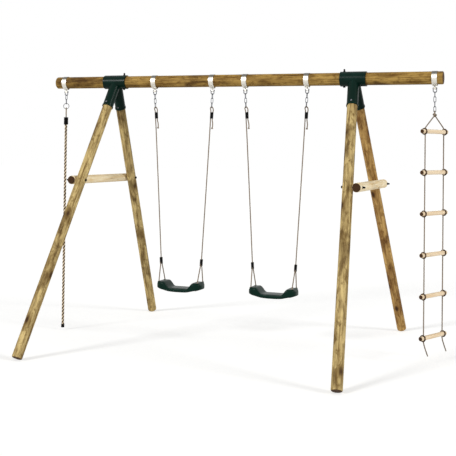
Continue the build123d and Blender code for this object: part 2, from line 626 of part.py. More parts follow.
def ladder():
    """Round rungs between two ropes that meet in a knot below a chain."""
    frame = Plane(origin=(LADDER_HANGER_X, 0, BOW_HEIGHT))
    angle = math.radians(LADDER_ANGLE)
    along = Vector(math.cos(angle), math.sin(angle), 0)
    plane = Plane(origin=(LADDER_HANGER_X, 0, 0), x_dir=along, z_dir=along.cross(Vector(0, 0, 1)))
    eye_top = BOW_HEIGHT + hanging_height(LADDER_LINKS) + SEAT_GAP + ROPE_RADIUS
    knot_height = eye_top - LADDER_KNOT_DROP
    eye_points = [
        (LADDER_EYE_PINCH - EYE_BEND, knot_height + ROPE_RADIUS),
        (-EYE_BEND, eye_top),
        (EYE_BEND, eye_top),
        (EYE_BEND - LADDER_EYE_PINCH, knot_height + ROPE_RADIUS),
    ]
    eye_plane = Plane(origin=(LADDER_HANGER_X, 0, 0), x_dir=(0, 1, 0), z_dir=(1, 0, 0))
    knot = Pos(LADDER_HANGER_X, 0, knot_height) * Sphere(LADDER_KNOT_DIAMETER / 2)
    knot -= tube(eye_points, ROPE_RADIUS + SEAT_GAP, eye_plane)
    heights = [LOWEST_RUNG_HEIGHT + i * RUNG_SPACING for i in range(RUNG_COUNT)]
    rung_radius = RUNG_DIAMETER / 2
    nodes = {
        "ladder_chain": hanging_chain(frame, LADDER_HANGER_X, LADDER_LINKS),
        "ladder_eye": [tube(eye_points, ROPE_RADIUS, eye_plane)],
    }
    rope_at = LADDER_ROPE_SPACING / 2
    shoulder = heights[-1] + rung_radius + LADDER_SHOULDER_RISE
    leaving = heights[0] - rung_radius - LADDER_TAIL_DROP
    for name, turn in (("front", -1), ("rear", 1)):
        points = [
            (turn * KNOT_SPREAD, knot_height - KNOT_SPREAD),
            (turn * rope_at, shoulder),
            (turn * rope_at, leaving),
            (turn * rope_at + LADDER_TAIL_LEAN, LADDER_TAIL_CLEAR),
        ]
        radii = [LADDER_SHOULDER_BEND, LADDER_TAIL_BEND]
        nodes[f"ladder_rope_{name}"] = [tube(points, ROPE_RADIUS, plane, radii)]
        knot -= tube(points, ROPE_RADIUS + SEAT_GAP, plane, radii)
    nodes["ladder_knot"] = [knot]
    turn_bend = rung_radius + ROPE_RADIUS + SEAT_GAP
    turns = []
    for number, height in enumerate(reversed(heights), start=1):
        middle = Vector(LADDER_HANGER_X, 0, height)
        rung = chamfered_rung(middle - along * (RUNG_LENGTH / 2), along)
        for end in (-1, 1):
            hole_at = middle + along * (end * rope_at) - Vector(0, 0, RUNG_DIAMETER)
            rung -= rod(hole_at, Vector(0, 0, 1), ROPE_RADIUS + SEAT_GAP, 2 * RUNG_DIAMETER)
            turn_at = middle + along * (end * (rope_at + ROPE_DIAMETER + SEAT_GAP))
            turns.append(Plane(origin=turn_at, z_dir=along) * Torus(turn_bend, ROPE_RADIUS))
        nodes[f"ladder_rung_{number}"] = [rung]
    nodes["ladder_rung_turns"] = turns
    return nodes


def chamfered_rung(start, along):
    rung = Cylinder(RUNG_DIAMETER / 2, RUNG_LENGTH, align=END_LEVEL)
    ends = rung.edges().filter_by(GeomType.CIRCLE)
    return Plane(origin=start, z_dir=along) * chamfer(ends, RUNG_CHAMFER)


def frame_nodes():
    nodes = {"beam": [beam()]}
    for side in APEX_X:
        nodes[f"leg_front_{side}"] = [leg(side, -1)]
        nodes[f"leg_rear_{side}"] = [leg(side, 1)]
        nodes[f"crossbar_{side}"] = [crossbar(side)]
        nodes[f"bracket_{side}"] = [bracket(side)]
        nodes[f"bracket_screws_{side}"] = bracket_screws(side)
        places = [beam_bolt(side), crossbar_bolt(side, -1), crossbar_bolt(side, 1)]
        nodes[f"pole_bolts_{side}"] = [piece for place in places for piece in bolt_and_nut(*place)]
    hangers = {"climbing": ROPE_HANGER_X, "ladder": LADDER_HANGER_X}
    for side, middle_x in SWING_X.items():
        hangers[f"swing_{side}_left"] = middle_x - SWING_HANGER_SPACING / 2
        hangers[f"swing_{side}_right"] = middle_x + SWING_HANGER_SPACING / 2
    for name, hanger_x in hangers.items():
        nodes[f"strap_{name}"] = [hanger_strap(hanger_x)]
    nodes["strap_bolts"] = [piece for hanger_x in hangers.values() for piece in clamp_bolt(hanger_x)]
    return nodes


def write_nodes():
    os.makedirs("parts", exist_ok=True)
    nodes = frame_nodes() | swing("left") | swing("right") | climbing_rope() | ladder()
    for name, pieces in nodes.items():
        solids = [solid for piece in pieces for solid in piece.solids()]
        export_step(Compound(children=solids) if len(solids) > 1 else solids[0], f"parts/{name}.step")


write_nodes()
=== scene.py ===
import json
import math

import bmesh
import bpy
from mathutils import Matrix, Vector


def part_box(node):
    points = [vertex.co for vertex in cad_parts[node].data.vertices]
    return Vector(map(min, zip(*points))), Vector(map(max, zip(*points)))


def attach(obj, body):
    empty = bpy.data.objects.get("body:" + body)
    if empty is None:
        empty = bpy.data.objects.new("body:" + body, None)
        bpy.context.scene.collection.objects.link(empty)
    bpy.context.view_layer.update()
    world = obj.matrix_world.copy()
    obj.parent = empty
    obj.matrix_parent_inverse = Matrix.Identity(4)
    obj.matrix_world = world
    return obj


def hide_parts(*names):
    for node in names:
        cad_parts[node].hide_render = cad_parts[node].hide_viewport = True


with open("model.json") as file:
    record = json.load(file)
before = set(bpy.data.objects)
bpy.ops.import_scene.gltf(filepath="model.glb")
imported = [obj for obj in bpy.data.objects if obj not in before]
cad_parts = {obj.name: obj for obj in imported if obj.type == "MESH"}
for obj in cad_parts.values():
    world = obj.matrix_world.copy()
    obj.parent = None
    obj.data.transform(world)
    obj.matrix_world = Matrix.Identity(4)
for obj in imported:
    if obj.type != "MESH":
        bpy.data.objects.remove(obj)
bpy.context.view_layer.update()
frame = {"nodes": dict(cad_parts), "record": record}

# A wooden swing set with two swings, a climbing rope and a rope ladder. Lengths are in metres and
# places come from the CAD frame. The camera comes first, then the ropes, the seats and the
# materials, and last the floor and the light.

# ---- Sizes shared with the CAD model ----
GAP = 0.0003                # between pieces that turn on each other
PIN_TO_BOW = 0.0273         # from a hanger's pin down to the inside of its bow
ROPE = 0.010
CLIMBING = 0.023            # the climbing rope's diameter
LINK_BAR = 0.005
LINK_REACH = 0.0215         # from a chain link's middle to the bar at its end
LINK_STEP = 0.0377          # from one link's middle to the next
SWING_LINKS = 3
LADDER_LINKS = 4
EYE_BEND = ROPE / 2 + LINK_BAR / 2 + GAP
LUG_SPACING_X = 0.344
LUG_SPACING_Y = 0.120
ADJUSTER_TOP = 0.152        # below the bow
ADJUSTER_HEIGHT = 0.052
TAIL_SPACING = 0.0115       # from a swing rope's own line to its tail's
CONNECTOR_ABOVE_LUGS = 0.190    # its top, above the top of the seat
DEPTH_IN_CONNECTOR = 0.022  # of a rope's end in a connector or clamp
BRIDLE_BELOW_ROPE = 0.008   # from the rope's foot to the bridle's top, in the connector
BRIDLE_BEND = 0.008         # half the width of a bridle's top
BRIDLE_DEPTH = 0.020        # of each leg of a bridle in the seat
RING_BAR = 0.005
RING_TURN = 204             # degrees about the vertical
CLAMP_EYE_SPACING = 0.012
RUNGS = 6
LADDER_ANGLE = 67           # degrees from the beam to the rungs
LADDER_ROPE_SPACING = 0.264
LADDER_SHOULDER_RISE = 0.010    # above the top rung, and lower than in the CAD model
LADDER_KNOT_DROP = 0.030    # below the top of the eye
KNOT_SPREAD = 0.008         # of each ladder rope, out and down from the knot's middle
LADDER_TAIL_CLEAR = 0.060   # above the ground
LADDER_TAIL_LEAN = 0.060    # both tails lean the same way
SIDES = ("left", "right")

UP = Vector((0, 0, 1))
TO_REAR = Vector((0, 1, 0))
JOINTS = {joint["name"]: joint for joint in frame["record"]["behaviour"]["joints"]}
PIN_HEIGHT = JOINTS["swing_left_hinge"]["pos_m"][2]
BOW_HEIGHT = PIN_HEIGHT - PIN_TO_BOW


def middle(node):
    low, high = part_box(node)
    return (Vector(low) + Vector(high)) / 2


def remove_object(obj, store):
    """Remove an object together with its curve or mesh, which is in the given store."""
    data = obj.data
    bpy.data.objects.remove(obj)
    store.remove(data)


# ---- Camera, at the place and angle that the view has ----
CAMERA_PLACE = (2.670, -7.333, 1.598)
CAMERA_YAW = -0.3575        # radians from straight along Y, clockwise as seen from above
CAMERA_PITCH = 0.020
CAMERA_ROLL = 0.0128
CAMERA_SENSOR = 36
CAMERA_LENS = 75.33
CAMERA_SHIFT_Y = -0.2161
CAMERA_RANGE = 200


def make_camera():
    flat = math.cos(CAMERA_PITCH)
    forward = Vector((math.sin(CAMERA_YAW) * flat, math.cos(CAMERA_YAW) * flat, math.sin(CAMERA_PITCH)))
    level_right = Vector((math.cos(CAMERA_YAW), -math.sin(CAMERA_YAW), 0))
    level_up = level_right.cross(forward)
    right = math.cos(CAMERA_ROLL) * level_right + math.sin(CAMERA_ROLL) * level_up
    up = math.cos(CAMERA_ROLL) * level_up - math.sin(CAMERA_ROLL) * level_right
    data = bpy.data.cameras.new("camera")
    data.sensor_width = CAMERA_SENSOR
    data.lens = CAMERA_LENS
    data.shift_y = CAMERA_SHIFT_Y
    data.clip_end = CAMERA_RANGE
    camera = bpy.data.objects.new("camera", data)
    turn = Matrix((right, up, -forward)).transposed().to_4x4()
    camera.matrix_world = Matrix.Translation(CAMERA_PLACE) @ turn
    bpy.context.scene.collection.objects.link(camera)
    bpy.context.scene.camera = camera


# ---- Meshes from rings of vertices ----
def join_rings(mesh, rings, closed=False):
    """Faces from each ring to the next, and from the last to the first where closed, else end caps."""
    around = len(rings[0])
    following_rings = rings[1:] + rings[:1] if closed else rings[1:]
    for first, second in zip(rings, following_rings):
        for step in range(around):
            following = (step + 1) % around
            mesh.faces.new((first[step], first[following], second[following], second[step]))
    if not closed:
        mesh.faces.new(rings[0][::-1])
        mesh.faces.new(rings[-1])


def finish_mesh(name, mesh):
    data = bpy.data.meshes.new(name)
    mesh.normal_update()
    mesh.to_mesh(data)
    mesh.free()
    data.polygons.foreach_set("use_smooth", [True] * len(data.polygons))
    obj = bpy.data.objects.new(name, data)
    bpy.context.scene.collection.objects.link(obj)
    return obj


# ---- Laid rope ----
ROPE_LAY = 0.034            # the length in which a strand goes once round
CLIMBING_LAY = 0.092
RINGS_PER_LAY = 14
STRANDS = 3
STRAND_CENTRES = 0.52       # distance of a strand's centre line, as a share of the rope's radius
ROUTE_STEPS = 16            # points of the smooth line for each span of a route
SHORTEST_SPAN = 1e-9


def route_line(points):
    """The smooth line of a cord: points read from a NURBS spline that the route's points control."""
    data = bpy.data.curves.new("route", "CURVE")
    data.dimensions = "3D"
    spline = data.splines.new("NURBS")
    spline.points.add(len(points) - 1)
    for spot, point in zip(spline.points, points):
        spot.co = (*point, 1)
    spline.order_u = 3
    spline.use_endpoint_u = True
    spline.resolution_u = ROUTE_STEPS
    obj = bpy.data.objects.new("route", data)
    bpy.context.scene.collection.objects.link(obj)
    mesh = bpy.data.meshes.new_from_object(obj)
    line = [vertex.co.copy() for vertex in mesh.vertices]
    bpy.data.meshes.remove(mesh)
    remove_object(obj, bpy.data.curves)
    return line


def evenly(line, step):
    """The same line with points at even steps along it."""
    lengths = [0.0]
    for before, after in zip(line, line[1:]):
        lengths.append(lengths[-1] + (after - before).length)
    count = max(2, round(lengths[-1] / step))
    result, place = [], 0
    for index in range(count + 1):
        along = lengths[-1] * index / count
        while place < len(line) - 2 and lengths[place + 1] < along:
            place += 1
        span = lengths[place + 1] - lengths[place]
        share = (along - lengths[place]) / span if span > SHORTEST_SPAN else 0
        result.append(line[place].lerp(line[place + 1], min(max(share, 0), 1)))
    return result


def carried_frames(line, closed):
    """Each point with two sides square to the line, carried along without twisting."""
    frames = []
    side = None
    for index, point in enumerate(line):
        if closed:
            ahead = line[(index + 1) % len(line)] - line[index - 1]
        else:
            ahead = line[min(index + 1, len(line) - 1)] - line[max(index - 1, 0)]
        ahead.normalize()
        if side is None:
            side = ahead.orthogonal().normalized()
        side = (side - ahead * side.dot(ahead)).normalized()
        frames.append((point, side, ahead.cross(side)))
    return frames


def strand_radius(angle, radius):
    """The outline of a laid rope: round strands side by side, with grooves between them."""
    turn = 2 * math.pi / STRANDS
    offset = (angle + turn / 2) % turn - turn / 2
    reach = radius * STRAND_CENTRES
    inside = max(reach ** 2 - (reach * math.sin(offset)) ** 2, 0)
    return reach * math.cos(offset) + math.sqrt(inside) * (1 - STRAND_CENTRES) / STRAND_CENTRES


def laid_rope(name, line, diameter, lay, closed=False, around=24):
    """A laid rope's mesh along a line, with its grooves marked for the material's painted shade."""
    radius = diameter / 2
    line = evenly(line, lay / RINGS_PER_LAY)
    if closed:
        line = line[:-1]
    total = sum((after - before).length for before, after in zip(line, line[1:]))
    turns = max(1, round(total * STRANDS / lay)) / STRANDS if closed else total / lay
    mesh = bmesh.new()
    groove = mesh.verts.layers.float.new("groove")
    rings, walked = [], 0.0
    for index, (point, side, other) in enumerate(carried_frames(line, closed)):
        if index:
            walked += (point - line[index - 1]).length
        twist = 2 * math.pi * turns * walked / total
        ring = []
        for step in range(around):
            angle = 2 * math.pi * step / around
            reach = strand_radius(angle - twist, radius)
            vertex = mesh.verts.new(point + side * math.cos(angle) * reach + other * math.sin(angle) * reach)
            vertex[groove] = reach / radius
            ring.append(vertex)
        rings.append(ring)
    join_rings(mesh, rings, closed)
    return finish_mesh(name, mesh)


# ---- Knots ----
TAIL_KNOT = 0.0195          # across the knot at a swing rope's end
TAIL_KNOT_ROPE = 0.0075     # drawn thinner than the rope, to look pulled tight
LADDER_KNOT = 0.035
TREFOIL_REACH = 3           # furthest that the knot's formula goes from its middle
KNOT_STEPS = 120
KNOT_STRETCH = 1.5          # of a knot's line, out of its own plane
KNOT_LAY = 3.4              # in thicknesses of its rope


def trefoil(centre, normal, size, thickness):
    """The closed line of a simple overhand knot, in a ball of the given diameter."""
    reach = (size - thickness) / 2 / TREFOIL_REACH
    side = normal.orthogonal().normalized()
    other = normal.cross(side)
    line = []
    for index in range(KNOT_STEPS + 1):
        angle = 2 * math.pi * index / KNOT_STEPS
        across = math.sin(angle) + 2 * math.sin(2 * angle)
        along = math.cos(angle) - 2 * math.cos(2 * angle)
        rise = -math.sin(3 * angle) * KNOT_STRETCH
        line.append(centre + side * across * reach + other * along * reach + normal * rise * reach)
    return line


def add_knot(name, centre, normal, size, thickness, body):
    line = trefoil(centre, normal, size, thickness)
    knot = laid_rope(name, line, thickness, thickness * KNOT_LAY, closed=True)
    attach(knot, body)
    return knot


# ---- Ropes: each route's points are listed, as in the CAD model ----
def placed(origin, side, up, route):
    """A route's points in space, from their distances along two directions."""
    return [origin + side * point[0] + up * point[1] for point in route]


def link_inside(count):
    """The inside of a chain's last bend, below the bow."""
    centre = GAP + LINK_BAR / 2 - LINK_REACH - (count - 1) * LINK_STEP
    return centre - LINK_REACH + LINK_BAR / 2


def swing_hanger(side, end):
    """The top of one side of a swing, its direction, and the drop from there to the seat's lugs."""
    turn = -1 if end == "left" else 1
    seat_low, seat_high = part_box(f"swing_{side}_seat")
    seat_middle = (seat_low[0] + seat_high[0]) / 2
    top = Vector((middle(f"strap_swing_{side}_{end}").x, 0, BOW_HEIGHT))
    lugs = Vector((seat_middle + turn * LUG_SPACING_X / 2, 0, seat_high[2]))
    return top, (top - lugs).normalized(), (top - lugs).length


def swing_rope(side, end):
    """The main rope of one side of a swing, with its eye, its tail and the knot on that."""
    body = f"swing_{side}"
    top, up, drop = swing_hanger(side, end)
    across = TO_REAR.cross(up)
    rope_foot = CONNECTOR_ABOVE_LUGS - drop - DEPTH_IN_CONNECTOR
    eye_top = link_inside(SWING_LINKS) + GAP + ROPE / 2
    adjuster_low = -ADJUSTER_TOP - ADJUSTER_HEIGHT
    points = placed(top, across, up, [
        (0, rope_foot),
        (0, 0.008 - ADJUSTER_TOP),
        (-EYE_BEND - 0.002, eye_top - 0.020),
        (-EYE_BEND, eye_top),
        (EYE_BEND, eye_top),
        (TAIL_SPACING + 0.007, eye_top - 0.024),
        (TAIL_SPACING, -ADJUSTER_TOP - 0.008),
        (TAIL_SPACING, adjuster_low - 0.010),
        (TAIL_SPACING + 0.010, adjuster_low - 0.048),
        (TAIL_SPACING + 0.006, adjuster_low - 0.080),
    ])
    line = route_line(points)
    rope = laid_rope(f"rope_{side}_{end}", line, ROPE, ROPE_LAY)
    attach(rope, body)
    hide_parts(f"swing_{side}_rope_{end}")
    knot = add_knot(f"rope_knot_{side}_{end}", points[-1], up, TAIL_KNOT, TAIL_KNOT_ROPE, body)
    return [rope, knot]


def swing_bridle(side, end):
    """The V of rope from a connector to the two lugs at one end of a seat."""
    top, up, drop = swing_hanger(side, end)
    bridle_top = CONNECTOR_ABOVE_LUGS - drop - DEPTH_IN_CONNECTOR - BRIDLE_BELOW_ROPE
    lug = Vector((LUG_SPACING_Y / 2, -drop))
    bend = Vector((BRIDLE_BEND, bridle_top))
    foot = lug + (lug - bend).normalized() * BRIDLE_DEPTH
    route = [(-foot.x, foot.y), (-bend.x, bend.y), (bend.x, bend.y), (foot.x, foot.y)]
    points = placed(top, TO_REAR, up, route)
    line = route_line(points)
    bridle = laid_rope(f"bridle_{side}_{end}", line, ROPE, ROPE_LAY)
    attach(bridle, f"swing_{side}")
    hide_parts(f"swing_{side}_bridle_{end}")
    return [bridle]


def climbing_rope():
    """The thick rope from its clamp down to its ferrule."""
    rope_low, rope_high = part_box("climbing_rope")
    axis = middle("climbing_rope")
    line = route_line([Vector((axis.x, axis.y, rope_low[2])), Vector((axis.x, axis.y, rope_high[2]))])
    rope = laid_rope("climbing_rope_laid", line, CLIMBING, CLIMBING_LAY, around=36)
    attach(rope, "climbing_rope_body")
    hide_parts("climbing_rope")
    return rope


def climbing_eye():
    """The thin loop that holds the climbing rope's clamp to its ring."""
    axis = middle("climbing_rope")
    clamp_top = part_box("climbing_clamp")[1][2]
    ring_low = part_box("climbing_chain")[0][2]
    eye_top = ring_low + RING_BAR + GAP + ROPE / 2
    turn = math.radians(RING_TURN + 90)
    side = Vector((math.cos(turn), math.sin(turn), 0))
    points = placed(Vector((axis.x, axis.y, 0)), side, UP, [
        (-CLAMP_EYE_SPACING / 2, clamp_top - DEPTH_IN_CONNECTOR),
        (-EYE_BEND - 0.002, eye_top - 0.032),
        (-EYE_BEND, eye_top),
        (EYE_BEND, eye_top),
        (EYE_BEND + 0.002, eye_top - 0.032),
        (CLAMP_EYE_SPACING / 2, clamp_top - DEPTH_IN_CONNECTOR),
    ])
    line = route_line(points)
    eye = laid_rope("climbing_eye_laid", line, ROPE, ROPE_LAY)
    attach(eye, "climbing_rope_body")
    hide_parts("climbing_eye")
    return eye


def ladder_layout():
    """The ladder's place, the direction of its rungs, their heights and their radius."""
    angle = math.radians(LADDER_ANGLE)
    along = Vector((math.cos(angle), math.sin(angle), 0))
    origin = Vector((middle("strap_ladder").x, 0, 0))
    heights = [middle(f"ladder_rung_{number}").z for number in range(1, RUNGS + 1)]
    rung_low, rung_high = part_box("ladder_rung_1")
    return origin, along, heights, (rung_high[2] - rung_low[2]) / 2


def ladder_ropes():
    """The ladder's knot and eye, and its two ropes from the knot down through the rungs."""
    origin, along, heights, rung_radius = ladder_layout()
    eye_top = BOW_HEIGHT + link_inside(LADDER_LINKS) + GAP + ROPE / 2
    knot_height = eye_top - LADDER_KNOT_DROP
    knot_place = origin + UP * knot_height
    knot = add_knot("ladder_knot_laid", knot_place, along, LADDER_KNOT, ROPE, "rope_ladder")
    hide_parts("ladder_knot")
    eye_line = route_line(placed(origin, TO_REAR, UP, [
        (0.001 - EYE_BEND, knot_height),
        (-EYE_BEND, eye_top),
        (EYE_BEND, eye_top),
        (EYE_BEND - 0.001, knot_height),
    ]))
    eye = laid_rope("ladder_eye_laid", eye_line, ROPE, ROPE_LAY)
    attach(eye, "rope_ladder")
    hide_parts("ladder_eye")
    ropes = []
    for name, turn in (("front", -1), ("rear", 1)):
        at = turn * LADDER_ROPE_SPACING / 2
        knot_end = Vector((turn * KNOT_SPREAD, knot_height - KNOT_SPREAD))
        shoulder = Vector((at, heights[0] + rung_radius + LADDER_SHOULDER_RISE))
        points = placed(origin, along, UP, [
            knot_end,
            shoulder.lerp(knot_end, 0.12),
            shoulder,
            (at, heights[0] + rung_radius - 0.020),
            (at, heights[-1] - rung_radius + 0.010),
            (at, heights[-1] - rung_radius - 0.030),
            (at + LADDER_TAIL_LEAN, LADDER_TAIL_CLEAR),
        ])
        line = route_line(points)
        rope = laid_rope(f"ladder_rope_{name}_laid", line, ROPE, ROPE_LAY)
        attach(rope, "rope_ladder")
        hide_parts(f"ladder_rope_{name}")
        ropes.append(rope)
    return ropes + [knot, eye]


def circle_line(centre, side, up, radius, steps=80):
    line = []
    for step in range(steps + 1):
        angle = 2 * math.pi * step / steps
        line.append(centre + side * math.cos(angle) * radius + up * math.sin(angle) * radius)
    return line


def rung_turns():
    """A turn of rope round each end of each rung, outside the ladder's ropes."""
    origin, along, heights, rung_radius = ladder_layout()
    from_middle = LADDER_ROPE_SPACING / 2 + ROPE + GAP
    turns = []
    for number, height in enumerate(heights, start=1):
        for name, end in (("front", -1), ("rear", 1)):
            centre = origin + along * (end * from_middle) + UP * height
            line = circle_line(centre, along.cross(UP), UP, rung_radius + ROPE / 2 + GAP)
            rope_turn = laid_rope(f"rung_turn_{number}_{name}", line, ROPE, ROPE_LAY, closed=True)
            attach(rope_turn, "rope_ladder")
            turns.append(rope_turn)
    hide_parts("ladder_rung_turns")
    return turns


# ---- Moulded seats: heights are above the lowest point of the CAD seat ----
SEAT_INSET = 0.0005         # from the ends of the CAD seat
SEAT_BOTTOM = 0.014         # at the middle
SEAT_BOTTOM_RISE = 0.032    # from the middle to the ends
SEAT_BOTTOM_CURVE = 2.5
SEAT_TOP = 0.050            # at the middle
SHOULDER_RISE = 0.0495
SHOULDER = (0.079, 0.134)   # distances from the middle between which the top rises
END_FALL = 0.022
END_FALL_FROM = 0.168
WAIST = 0.006               # how far each long edge draws in at the middle
WAIST_FADE = (0.06, 0.15)   # distances from the middle between which it is lost
END_ROUNDING = 7            # the higher, the squarer the seat's ends are from above
SECTION_ROUNDING = 0.36     # the lower, the squarer a section is
HOLLOW_ROUNDING = 0.25
SEAT_WALL = 0.007
END_BLOCK = 0.046           # solid stretch at each end
RIB_PLACE = 0.065           # from the middle
RIB = 0.006
HOLLOW_BELOW = 0.03         # how far each cut starts below the seat's bottom
SECTION_STEPS = 40
SEAT_STEPS = 56
SEAT_REACH = 0.9995         # keeps the end sections from closing to a line
HOLLOW_STEPS = 12
SHARP_EDGE = 38             # degrees
COLLAR_RADIUS = 0.0085
COLLAR_THICKNESS = 0.0032
COLLAR_SUNK = 0.004
COLLAR_STEPS = 28
COLLAR_AROUND = 12


def smooth_step(low, high, value):
    share = min(max((value - low) / (high - low), 0), 1)
    return share * share * (3 - 2 * share)


def seat_section(along, half, depth):
    """Bottom, top and half depth of a seat at a distance from its middle."""
    reach = abs(along)
    bottom = SEAT_BOTTOM + SEAT_BOTTOM_RISE * (reach / half) ** SEAT_BOTTOM_CURVE
    shoulder_top = SEAT_TOP + SHOULDER_RISE * smooth_step(*SHOULDER, reach)
    top = shoulder_top - END_FALL * smooth_step(END_FALL_FROM, half, reach) ** 2
    fall = 1 - (reach / half) ** END_ROUNDING if reach < half else 0
    waist = WAIST * (1 - smooth_step(*WAIST_FADE, reach))
    return bottom, top, (depth / 2 - waist) * fall ** SECTION_ROUNDING


def loft(name, stations, rounding):
    """A closed skin over rounded sections: each station is x, bottom, top and half depth."""
    mesh = bmesh.new()
    rings = []
    for x, bottom, top, half_depth in stations:
        centre, half_height = (bottom + top) / 2, (top - bottom) / 2
        ring = []
        for step in range(SECTION_STEPS):
            angle = 2 * math.pi * (step + 0.5) / SECTION_STEPS
            wide, tall = math.cos(angle), math.sin(angle)
            y = half_depth * math.copysign(abs(wide) ** rounding, wide)
            z = centre + half_height * math.copysign(abs(tall) ** rounding, tall)
            ring.append(mesh.verts.new((x, y, z)))
        rings.append(ring)
    join_rings(mesh, rings)
    bmesh.ops.recalc_face_normals(mesh, faces=mesh.faces)
    return finish_mesh(name, mesh)


def seat_hollow(first, last, half, depth):
    """The space under a seat between two distances from its middle, open below."""
    stations = []
    for index in range(HOLLOW_STEPS + 1):
        x = first + (last - first) * index / HOLLOW_STEPS
        bottom, top, half_depth = seat_section(x, half, depth)
        stations.append((x, bottom - HOLLOW_BELOW, top - SEAT_WALL, half_depth - SEAT_WALL))
    return loft("hollow", stations, HOLLOW_ROUNDING)


def cut_away(obj, cutters):
    """Cut the cutters out of an object's mesh and remove them."""
    for cutter in cutters:
        cut = obj.modifiers.new("cut", "BOOLEAN")
        cut.operation = "DIFFERENCE"
        cut.solver = "EXACT"
        cut.object = cutter
    evaluated = obj.evaluated_get(bpy.context.evaluated_depsgraph_get())
    cut_mesh = bpy.data.meshes.new_from_object(evaluated)
    obj.modifiers.clear()
    obj.data = cut_mesh
    for cutter in cutters:
        remove_object(cutter, bpy.data.meshes)


def collar(name, place):
    """A rounded ring moulded round the hole where a rope enters."""
    mesh = bmesh.new()
    rings = []
    for spot in range(COLLAR_STEPS):
        angle = 2 * math.pi * spot / COLLAR_STEPS
        outward = Vector((math.cos(angle), math.sin(angle), 0))
        ring = []
        for step in range(COLLAR_AROUND):
            turn = 2 * math.pi * step / COLLAR_AROUND
            reach = COLLAR_RADIUS + COLLAR_THICKNESS * math.cos(turn)
            ring.append(mesh.verts.new(outward * reach + UP * COLLAR_THICKNESS * math.sin(turn)))
        rings.append(ring)
    join_rings(mesh, rings, closed=True)
    bmesh.ops.recalc_face_normals(mesh, faces=mesh.faces)
    obj = finish_mesh(name, mesh)
    obj.location = place
    return obj


def make_seat(side):
    """A moulded seat with raised ends, hollow below, and a collar where each rope enters."""
    low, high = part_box(f"swing_{side}_seat")
    half = (high[0] - low[0]) / 2 - SEAT_INSET
    depth = high[1] - low[1]
    centre = (Vector(low) + Vector(high)) / 2
    stations = []
    for index in range(SEAT_STEPS + 1):
        x = half * math.sin(math.pi / 2 * (2 * index / SEAT_STEPS - 1)) * SEAT_REACH
        stations.append((x, *seat_section(x, half, depth)))
    seat = loft(f"seat_{side}", stations, SECTION_ROUNDING)
    end, outer, inner = half - END_BLOCK, RIB_PLACE + RIB / 2, RIB_PLACE - RIB / 2
    spans = ((-end, -outer), (-inner, inner), (outer, end))
    cut_away(seat, [seat_hollow(first, last, half, depth) for first, last in spans])
    seat.data.set_sharp_from_angle(angle=math.radians(SHARP_EDGE))
    seat.location = (centre.x, centre.y, low[2])
    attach(seat, f"swing_{side}")
    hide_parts(f"swing_{side}_seat")
    collars = []
    for turn_x in (-1, 1):
        for turn_y in (-1, 1):
            x = turn_x * LUG_SPACING_X / 2
            seat_top = seat_section(x, half, depth)[1]
            place = Vector((centre.x + x, turn_y * LUG_SPACING_Y / 2, low[2] + seat_top - COLLAR_SUNK))
            collars.append(collar(f"seat_collar_{side}_{len(collars)}", place))
            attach(collars[-1], f"swing_{side}")
    return [seat] + collars


# ---- Node trees ----
class Nodes:
    """The node tree of a material or world, with short ways to add and link nodes."""

    def __init__(self, owner):
        owner.use_nodes = True
        self.owner = owner
        self.tree = owner.node_tree
        self.shader = self.tree.nodes.get("Principled BSDF")

    def put(self, socket, value):
        """Link a socket to an output, or set its value."""
        if isinstance(value, bpy.types.NodeSocket):
            self.tree.links.new(value, socket)
        else:
            socket.default_value = value

    def add(self, kind, inputs=None, **settings):
        node = self.tree.nodes.new(kind)
        for key, value in settings.items():
            setattr(node, key, value)
        for key, value in (inputs or {}).items():
            self.put(node.inputs[key], value)
        return node

    def math(self, operation, first, second=0.0):
        return self.add("ShaderNodeMath", {0: first, 1: second}, operation=operation).outputs[0]

    def grey_ramp(self, value, low, high):
        """0 where the value is at or before low, 1 at or past high."""
        inputs = {"Value": value, "From Min": low, "From Max": high}
        return self.add("ShaderNodeMapRange", inputs, clamp=True).outputs["Result"]

    def share(self, value, low, high, most):
        """0 where the value is at or before low, and most at or past high."""
        return self.math("MULTIPLY", self.grey_ramp(value, low, high), most)

    def spread(self, value, low, high):
        """Values from 0 to 1 spread from low to high."""
        inputs = {"Value": value, "To Min": low, "To Max": high}
        return self.add("ShaderNodeMapRange", inputs).outputs["Result"]

    def mix(self, share, first, second, blend="MIX"):
        node = self.add("ShaderNodeMix", {0: share}, data_type="RGBA", blend_type=blend)
        for key, value in ((6, first), (7, second)):
            self.put(node.inputs[key], value if isinstance(value, bpy.types.NodeSocket) else (*value, 1))
        return node.outputs[2]

    def stretch(self, vector, scale):
        return self.add("ShaderNodeMapping", {"Vector": vector, "Scale": scale}).outputs["Vector"]

    def noise(self, vector, scale, detail, roughness, distortion=0.0):
        inputs = {"Scale": scale, "Detail": detail, "Roughness": roughness, "Distortion": distortion}
        return self.add("ShaderNodeTexNoise", {"Vector": vector, **inputs}).outputs["Fac"]

    def stretched_noise(self, vector, scale, detail, roughness, distortion=0.0):
        return self.noise(self.stretch(vector, scale), 1.0, detail, roughness, distortion)

    def bump(self, height, strength, distance):
        node = self.add("ShaderNodeBump", {"Height": height, "Strength": strength, "Distance": distance})
        self.tree.links.new(node.outputs["Normal"], self.shader.inputs["Normal"])

    def set(self, **values):
        for key, value in values.items():
            self.put(self.shader.inputs[key.replace("_", " ")], value)


def new_material(name):
    return Nodes(bpy.data.materials.new(name))


# ---- Wood ----
DULL = 0.12                 # specular level of wood and rope
AXIS_ROUNDS = 12
GROWTH_RINGS = 260          # per metre of radius
RING_WOBBLE = 0.01          # how far the growth rings are out of round
GRAIN_SWIRL = 0.016         # how far the grain is pushed aside by a knot
SEED_STEP = Vector((1.37, 0.71, 2.9))   # between the places of two woods in the patterns
POLE_SEED = 1
CROSSBAR_SEED = 11
RUNG_SEED = 21

